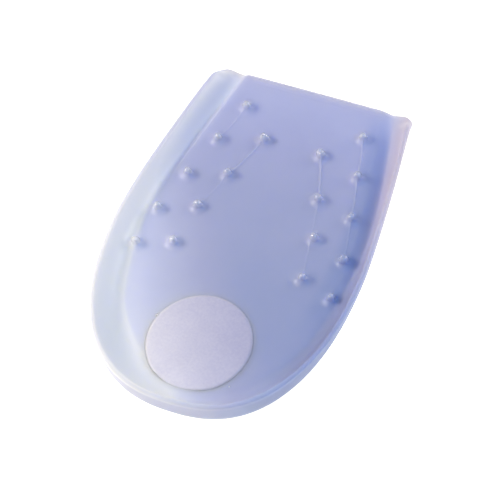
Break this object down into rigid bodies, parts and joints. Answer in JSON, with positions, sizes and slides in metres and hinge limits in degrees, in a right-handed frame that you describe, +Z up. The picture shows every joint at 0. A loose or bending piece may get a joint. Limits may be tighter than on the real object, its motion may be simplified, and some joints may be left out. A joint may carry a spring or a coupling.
{
  "type": "heel cup",
  "caption": "Translucent blue gel heel cup with a raised rim, rows of small nubs and a round softer spot under the heel bone.",
  "frame": {"origin": "middle of the cup's box, on the surface that it rests on", "axes": "+X across the foot, to the right seen from the heel; +Y along the foot, towards the toes; +Z up, out of the cup"},
  "size_m": [0.069, 0.104, 0.0142],
  "materials": {
    "blue_gel": "translucent satin silicone",
    "white_gel": "matte, finely speckled silicone"
  },
  "bodies": {
    "root": {"cup_body": "blue_gel", "soft_spot": "white_gel"}
  },
  "joints": []
}
